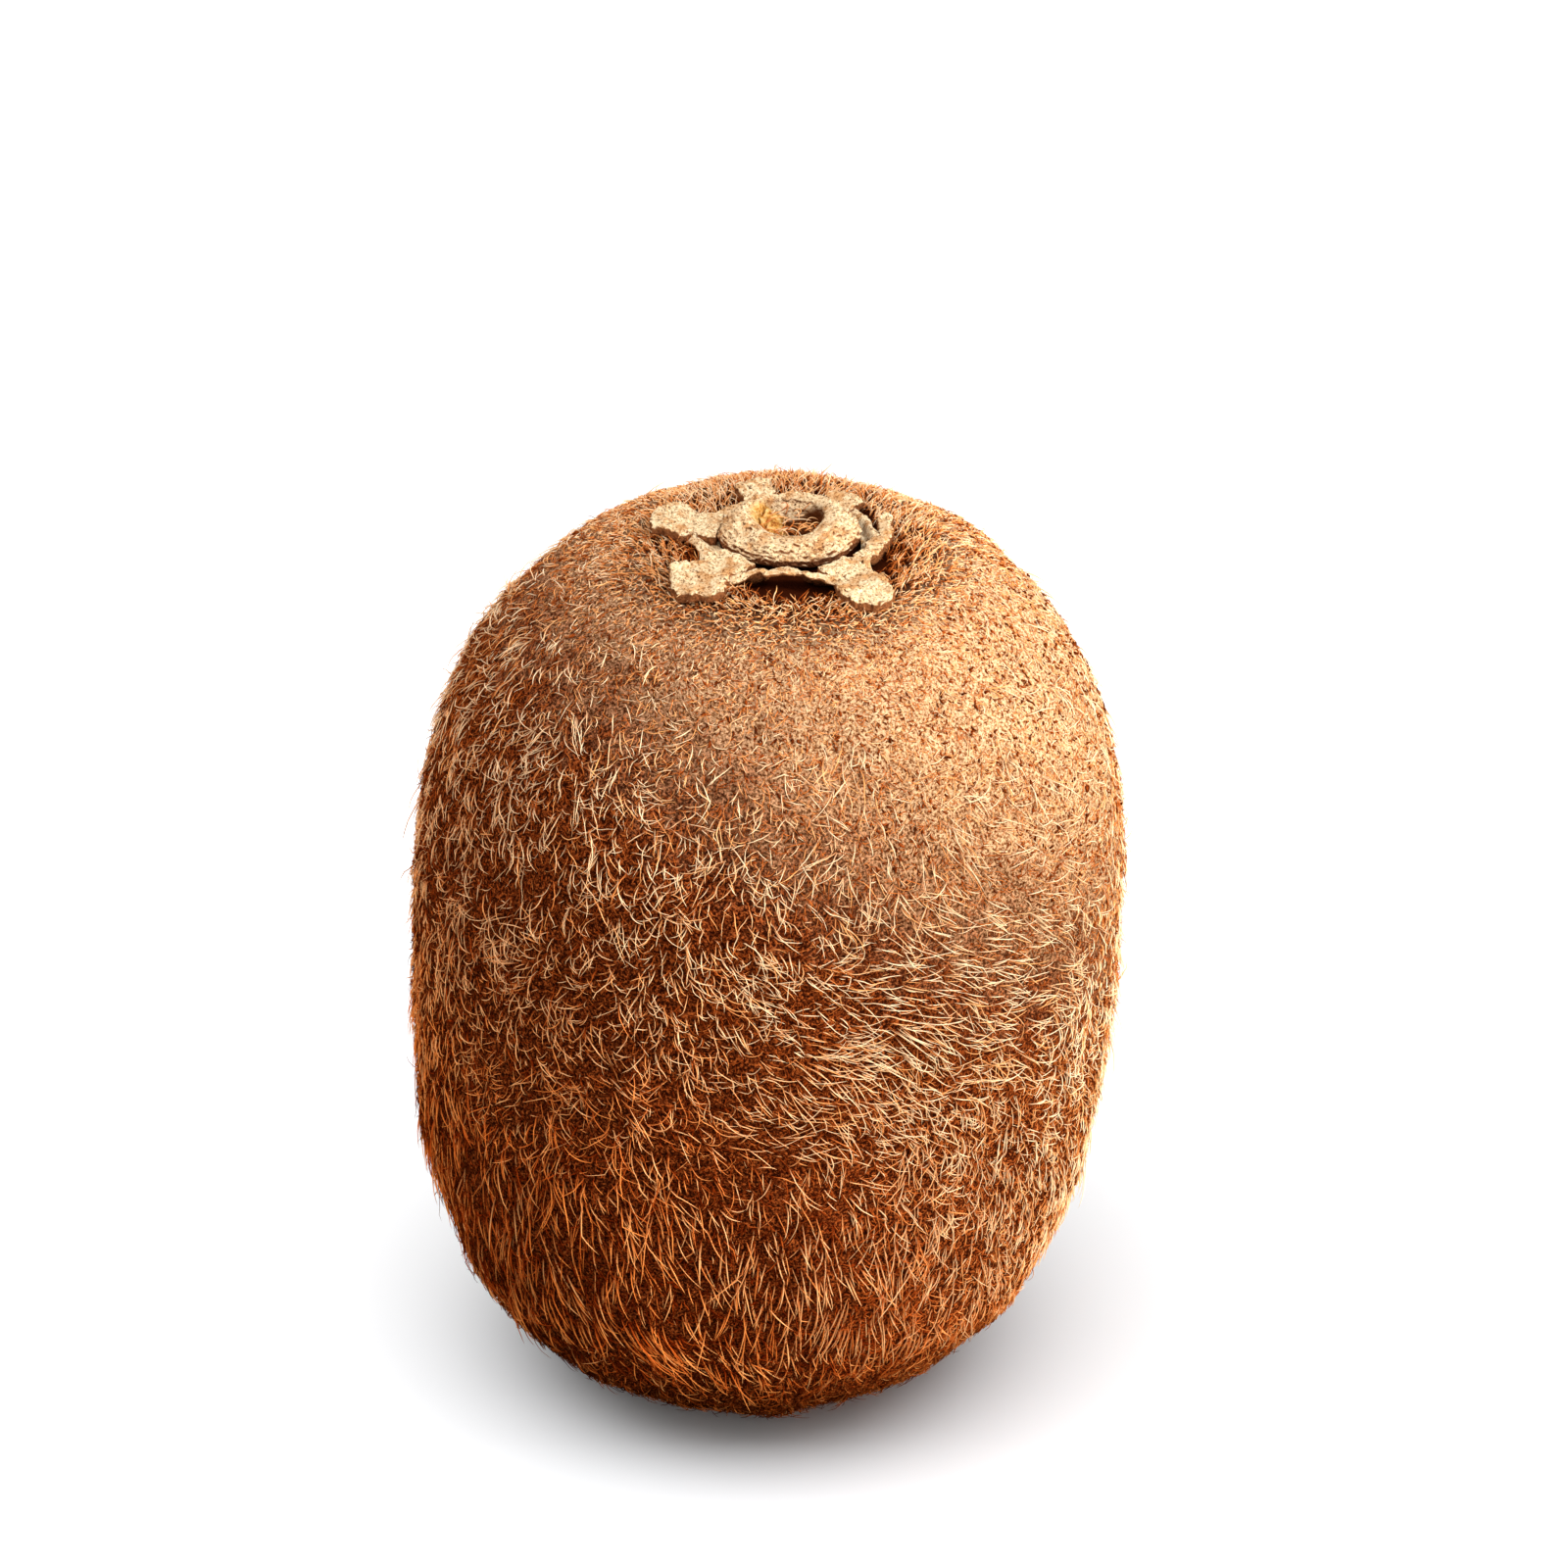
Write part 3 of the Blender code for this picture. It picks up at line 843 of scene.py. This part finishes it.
def add_long_hair(material):
    """Pale wiry hair, in small sheaves that share their lie."""
    rng = np.random.default_rng(71)

    def density(points):
        clear = smooth_step(11 * MM, 22 * MM, from_stem(points))
        patchy = (1 + 0.12 * waves(points, 8 * MM, 8)).clip(0.3, 2)
        longitude = np.arctan2(points[:, 1], points[:, 0])
        patchy = patchy * (1 + 0.65 * glow_share(points, longitude))
        return clear * (1 - 0.75 * pale_and_lit_share(points)) * (1 - 0.3 * low_share(points)) * patchy

    latitude, longitude = scatter(rng, SHEAVES, density)
    size = np.minimum(rng.integers(1, MOST_IN_SHEAF + 2, SHEAVES), MOST_IN_SHEAF)
    parent = np.repeat(np.arange(SHEAVES), size)
    count = len(parent)
    points = skin_points(latitude, longitude)
    around = np.maximum(np.hypot(points[:, 0], points[:, 1]), 3 * MM)
    spread = 0.50 * MM
    latitude = latitude[parent] + rng.normal(0, spread / RADIUS_X, count)
    longitude = longitude[parent] + rng.normal(0, spread, count) / around[parent]
    points = skin_points(latitude, longitude)
    low = low_share(points)
    swept = swept_share(points, longitude)
    right = right_share(points)
    loose = 1 - np.maximum(np.maximum(0.75 * low, 0.65 * swept), 0.6 * right)
    apart = rng.normal(0, 0.55, SHEAVES)[parent] + rng.normal(0, 0.30, count)
    turn = heading(points, longitude) + apart * loose
    length = rng.gamma(8, 0.20 * MM, SHEAVES)[parent] * rng.uniform(0.6, 1.2, count)
    base = smooth_step(14 * MM, 6 * MM, points[:, 2])
    length = length * (1 + 0.75 * low + 0.25 * swept - 0.10 * right - 0.35 * base)
    lift = rng.uniform(0.25, 0.70, SHEAVES)[parent] * (1 - 0.45 * low) + rng.normal(0, 0.12, count)
    tip_lift = rng.normal(0.0, 0.14, count)
    curl = (rng.normal(0, 0.6, SHEAVES)[parent] + rng.normal(0, 0.4, count)) * loose
    kink = rng.normal(0, 0.9, count) * (rng.random(count) < 0.25 * loose)
    wire = rng.uniform(0.04, 0.19, count) * loose
    path, normals = strands(rng, latitude, longitude, turn, length, lift, tip_lift, curl, wire, kink, 7)
    radius = rng.uniform(0.032, 0.058, count) * (1 + 0.30 * low) * MM
    # dark_share darkens it with painted shade near the floor and on the shaded lower left.
    tone = 0.94 - 0.45 * dark_share(points) + rng.normal(0, 0.14, count)
    add_hair("long_hair", path, normals, radius, tone.clip(0.05, 0.99), material)


def add_middle_hair(material):
    """Middle hair, thicker on the ground than the long."""
    rng = np.random.default_rng(72)
    count = MIDDLE_HAIRS

    def density(points):
        clear = smooth_step(11 * MM, 16 * MM, from_stem(points))
        patchy = (1 + 0.15 * waves(points, 5 * MM, 9)).clip(0.3, 2)
        return clear * (1 - 0.3 * low_share(points)) * patchy

    latitude, longitude = scatter(rng, count, density)
    points = skin_points(latitude, longitude)
    pale = pale_and_lit_share(points)
    low = low_share(points)
    turn = heading(points, longitude) + rng.normal(0, 0.7, count) * (1 - 0.3 * low + 0.5 * pale)
    length = rng.gamma(8, 0.13 * MM, count) * (1 - 0.10 * pale) * (1 + 0.7 * low)
    length = length * (1 - 0.25 * right_share(points))
    high = high_share(points)
    lift = rng.uniform(0.2, 0.7, count) * (1 - 0.45 * pale)
    tip_lift = rng.normal(0.0, 0.15, count)
    curl = rng.normal(0, 1.1, count)
    kink = rng.normal(0, 0.9, count) * (rng.random(count) < 0.2)
    wire = rng.uniform(0.05, 0.3, count)
    path, normals = strands(rng, latitude, longitude, turn, length, lift, tip_lift, curl, wire, kink, 5)
    radius = rng.uniform(0.028, 0.044, count) * MM
    # dark_share adds painted shade near the floor and on the shaded lower left.
    dark = np.maximum(dark_share(points), 0.8 * np.maximum(low, crown_share(points)))
    # Paler on the lit shoulder and golden on the lower right, in part painted light.
    tone = 0.19 + 0.61 * pale + 0.26 * high * (1 - pale) + 0.48 * gold_and_lit_share(points) - 0.20 * dark
    tone = tone + 0.18 * glow_share(points, longitude)
    tone = tone + rng.normal(0, 0.20, count)
    add_hair("middle_hair", path, normals, radius, tone.clip(0.05, 0.99), material)


def add_fuzz(material):
    """The short down that covers the skin."""
    rng = np.random.default_rng(73)
    count = FUZZ_HAIRS

    def density(points):
        clear = smooth_step(9 * MM, 15 * MM, from_stem(points))
        return clear * (0.45 + 0.9 * pale_and_lit_share(points))

    latitude, longitude = scatter(rng, count, density)
    points = skin_points(latitude, longitude)
    pale = pale_and_lit_share(points)
    turn = heading(points, longitude) + rng.normal(0, 1.0, count)
    length = rng.uniform(0.30, 0.75, count) * MM
    lift = rng.uniform(0.2, 0.9, count) * (1 - 0.5 * pale)
    none = np.zeros(count)
    curl = rng.normal(0, 0.8, count)
    path, normals = strands(rng, latitude, longitude, turn, length, lift, none, curl, none, none, 3)
    radius = rng.uniform(0.026, 0.044, count) * MM
    high = high_share(points)
    # Paler with the down on the lit shoulder, in part painted light.
    tone = (0.62 * pale + 0.26 * high * (1 - pale)) * (1 - 0.5 * crown_share(points))
    # Golden on the lower right, in part painted light.
    tone = tone + 0.46 * gold_and_lit_share(points)
    tone = 0.04 + tone + rng.normal(0, 1, count) * (0.14 + 0.08 * pale)
    add_hair("fuzz", path, normals, radius, tone.clip(0.05, 0.99), material)


def add_dark_hair(material):
    """Dark strokes that dot the pale down: gaps where the dark skin shows, and painted shadows beside
    its hairs.
    """
    rng = np.random.default_rng(74)
    count = GAP_AND_SHADOW_STROKES

    def density(points):
        return smooth_step(9 * MM, 11 * MM, from_stem(points)) * (0.15 + pale_and_lit_share(points))

    latitude, longitude = scatter(rng, count, density)
    points = skin_points(latitude, longitude)
    turn = heading(points, longitude) + rng.normal(0, 0.8, count)
    length = rng.uniform(0.20, 0.55, count) * MM
    lift = rng.uniform(0.55, 0.95, count)
    none = np.zeros(count)
    curl = rng.normal(0, 0.8, count)
    path, normals = strands(rng, latitude, longitude, turn, length, lift, none, curl, none, none, 3)
    radius = rng.uniform(0.070, 0.160, count) * MM
    tone = 0.12 + rng.normal(0, 0.07, count)
    add_hair("dark_hair", path, normals, radius, tone.clip(0.01, 0.99), material)


def add_fibres(material):
    """Loose dry fibres that arch across the ring's hollow."""
    rng = np.random.default_rng(76)
    count, segments = FIBRES, 8
    bearing = rng.uniform(0, 2 * math.pi, count)
    away = np.sqrt(rng.uniform(0, 1, count)) * 2.5 * MM
    length = rng.uniform(0.8, 2.8, count) * MM
    turn = bearing + math.pi + rng.normal(0, 1.3, count)
    bend = rng.normal(0, 2.2, count)
    start = np.stack([
        STEM_X + away * np.cos(bearing),
        HOLLOW_BACK - 0.8 * MM + 1.25 * away * np.sin(bearing),
        SCAR_BASE + rng.uniform(0.15, 0.55, count) * (SCAR_TOP - SCAR_BASE),
    ], -1)
    path = [start]
    for step in range(segments):
        share = (step + 0.5) / segments
        turn = turn + bend / segments
        climb = 0.9 - 1.7 * share
        way = np.stack([np.cos(turn), np.sin(turn), climb + 0 * turn], -1)
        path.append(path[-1] + unit(way) * (length / segments)[:, None])
    path = np.stack(path, 1)
    normals = np.tile([0.0, 0.0, 1.0], (count, 1))
    radius = rng.uniform(0.035, 0.065, count) * MM
    tone = rng.uniform(0.45, 0.97, count)
    mesh = tube_mesh(path, normals, radius, tone)
    add_piece("stalk_fibres", mesh, material, "stem_wood")


def add_crown_hair(material):
    """The dense upright hair round the calyx."""
    rng = np.random.default_rng(75)
    count = CROWN_HAIRS

    def density(points):
        away = from_stem(points)
        bearing = np.arctan2(points[:, 1], points[:, 0] - STEM_X)
        front = np.exp(-((bearing - math.radians(-94)) / math.radians(22)) ** 2)
        edge = away - 0.7 * MM * front
        return smooth_step(6.4 * MM, 7.8 * MM, edge) * smooth_step(18 * MM, 12 * MM, away)

    latitude, longitude = scatter(rng, count, density)
    points = skin_points(latitude, longitude)
    turn = rng.normal(0, 1.1, count)
    near = smooth_step(14 * MM, 8 * MM, from_stem(points))
    length = rng.gamma(9, 0.10 * MM, count) * (0.55 + 0.5 * near)
    lift = rng.uniform(0.35, 0.8, count) + 0.6 * near
    tip_lift = rng.normal(0.15, 0.25, count) + 0.4 * near
    kink = rng.normal(0, 0.8, count) * (rng.random(count) < 0.3)
    wire = rng.uniform(0.05, 0.3, count)
    curl = rng.normal(0, 0.9, count)
    path, normals = strands(rng, latitude, longitude, turn, length, lift, tip_lift, curl, wire, kink, 5)
    radius = rng.uniform(0.034, 0.060, count) * MM
    # Painted shade: the hair in the front of the calyx's pit is darker.
    pit_shade = smooth_step(9 * MM, 7 * MM, from_stem(points)) * (points[:, 1] < 0)
    tone = 0.74 - 0.40 * pit_shade + rng.normal(0, 0.22, count)
    add_hair("crown_hair", path, normals, radius, tone.clip(0.03, 0.92), material)


# ------------------------------ stage
FLOOR_HALF = 3.0             # half the floor's side
FADE_FROM, FADE_TO = 0.2, 0.6    # the floor glows white with distance from the fruit
SURROUND_BELOW, SURROUND_ABOVE = 0.06, 1.20      # strength of its light from there
LIGHT_DISTANCE = 0.7
FRUIT_LIGHTS = {
    # name: direction, width and height, watts, colour
    "key": ((0.64, -0.25, 0.73), (0.16, 0.16), 3.9, (1.0, 0.97, 0.93)),
    "side_fill": ((0.86, -0.50, 0.06), (0.4, 0.1), 3.5, (1.0, 0.87, 0.66)),
    "low_fill": ((0.78, -0.62, 0.08), (0.4, 0.2), 3.9, (1.0, 0.88, 0.67)),
    "left_fill": ((-0.60, -0.35, 0.72), (0.3, 0.3), 2.5, (1.0, 0.85, 0.69)),
}
CENTRE = Vector((0.0, 0.0, 33.6 * MM))
VIEW_RISE = math.radians(32)
VIEW_DISTANCE = 0.6
AIM_RIGHT = 1.11 * MM        # the camera looks this far beside and above the centre
AIM_UP = 11.7 * MM
LENS = 191.7                 # focal length in mm, on a sensor 36 mm wide


def add_camera():
    """The camera, above and in front of the fruit, aimed over its middle."""
    data = bpy.data.cameras.new("camera")
    data.lens = LENS
    data.sensor_width = 36.0
    camera = bpy.data.objects.new("camera", data)
    back = Vector((0, -math.cos(VIEW_RISE), math.sin(VIEW_RISE)))
    up = Vector((0, math.sin(VIEW_RISE), math.cos(VIEW_RISE)))
    camera.location = CENTRE + back * VIEW_DISTANCE
    aim = CENTRE + Vector((AIM_RIGHT, 0, 0)) + up * AIM_UP
    camera.rotation_mode = "QUATERNION"
    camera.rotation_quaternion = (aim - camera.location).to_track_quat("-Z", "Y")
    bpy.context.scene.collection.objects.link(camera)
    bpy.context.scene.camera = camera


def add_light(name, way, distance, size, watts, colour, receivers):
    """A soft light that looks at the fruit from a direction and lights some objects."""
    data = bpy.data.lights.new(name, "AREA")
    data.shape = "RECTANGLE"
    data.size, data.size_y = size
    data.energy = watts
    data.color = colour
    light = bpy.data.objects.new(name, data)
    way = Vector(way).normalized()
    light.location = CENTRE + way * distance
    light.rotation_mode = "QUATERNION"
    light.rotation_quaternion = (-way).to_track_quat("-Z", "Y")
    bpy.context.scene.collection.objects.link(light)
    light.light_linking.receiver_collection = receivers


def add_floor():
    """A plain white floor, which fades to full white away from the fruit."""
    shape = bmesh.new()
    bmesh.ops.create_grid(shape, x_segments=4, y_segments=4, size=FLOOR_HALF)
    mesh = bpy.data.meshes.new("floor")
    shape.to_mesh(mesh)
    shape.free()
    material, link, shader, node = new_material("floor_white", 0.9)
    shader.inputs["Base Color"].default_value = (0.87, 0.90, 0.93, 1)
    shader.inputs["Emission Color"].default_value = (1, 1, 1, 1)
    away = reach_of(node, link, node("TexCoord"), (0, 0, 0), FADE_FROM, FADE_TO)
    link(away, shader.inputs["Emission Strength"])
    mesh.materials.append(material)
    floor = bpy.data.objects.new("floor", mesh)
    bpy.context.scene.collection.objects.link(floor)
    floor.visible_diffuse = False
    floor.visible_glossy = False
    floor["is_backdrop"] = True
    return floor


def add_lights(floor):
    """The key light, three fills and a light that falls on the floor alone."""
    on_floor = bpy.data.collections.new("floor_only")
    on_floor.objects.link(floor)
    on_fruit = bpy.data.collections.new("fruit_only")
    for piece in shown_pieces():
        on_fruit.objects.link(piece)
    for name, (way, size, watts, colour) in FRUIT_LIGHTS.items():
        add_light(name, way, LIGHT_DISTANCE, size, watts, colour, on_fruit)
    add_light("floor_light", (0.0, -0.25, 1.0), 0.6, (1.3, 0.5), 6.0, (1, 1, 1), on_floor)


def add_surround():
    """A white backdrop, which lights the fruit more from above than from below."""
    world = bpy.data.worlds.new("surround")
    bpy.context.scene.world = world
    world.use_nodes = True
    nodes, link = world.node_tree.nodes, world.node_tree.links.new
    shade = nodes["Background"]
    seen = nodes.new("ShaderNodeBackground")
    seen.inputs[0].default_value = (1, 1, 1, 1)
    place = nodes.new("ShaderNodeTexCoord")
    split = nodes.new("ShaderNodeSeparateXYZ")
    link(place.outputs["Generated"], split.inputs[0])
    fall = nodes.new("ShaderNodeMapRange")
    fall.inputs["From Min"].default_value = -1.0
    fall.inputs["From Max"].default_value = 1.0
    link(split.outputs["Z"], fall.inputs["Value"])
    square = nodes.new("ShaderNodeMath")
    square.operation = "MULTIPLY"
    link(fall.outputs[0], square.inputs[0])
    link(fall.outputs[0], square.inputs[1])
    strength = nodes.new("ShaderNodeMapRange")
    strength.inputs["To Min"].default_value = SURROUND_BELOW
    strength.inputs["To Max"].default_value = SURROUND_ABOVE
    link(square.outputs[0], strength.inputs["Value"])
    link(strength.outputs[0], shade.inputs["Strength"])
    shade.inputs[0].default_value = (1.0, 0.95, 0.91, 1)
    path = nodes.new("ShaderNodeLightPath")
    choose = nodes.new("ShaderNodeMixShader")
    link(path.outputs["Is Camera Ray"], choose.inputs[0])
    link(shade.outputs[0], choose.inputs[1])
    link(seen.outputs[0], choose.inputs[2])
    link(choose.outputs[0], nodes["World Output"].inputs[0])


add_camera()
add_skin()
add_stem_scar()
cork = cork_material("sepal_cork", SEPAL_COLOURS)[0]
add_collar(cork)
for number, (name, sizes) in enumerate(SEPALS.items()):
    bearing, reach, widths, shoulder, rises = sizes
    widths = [width * MM for width in widths]
    rises = [rise * MM for rise in rises]
    add_sepal(name, bearing, reach * MM, widths, shoulder, rises, 100 + 20 * number, cork)
add_right_sepal(cork)
add_blossom_scar()
hair = hair_material()
add_long_hair(hair)
add_middle_hair(hair)
add_fuzz(hair)
add_dark_hair(hair)
add_crown_hair(hair)
add_fibres(hair)
add_lights(add_floor())
add_surround()
bpy.context.scene.view_settings.view_transform = "Standard"
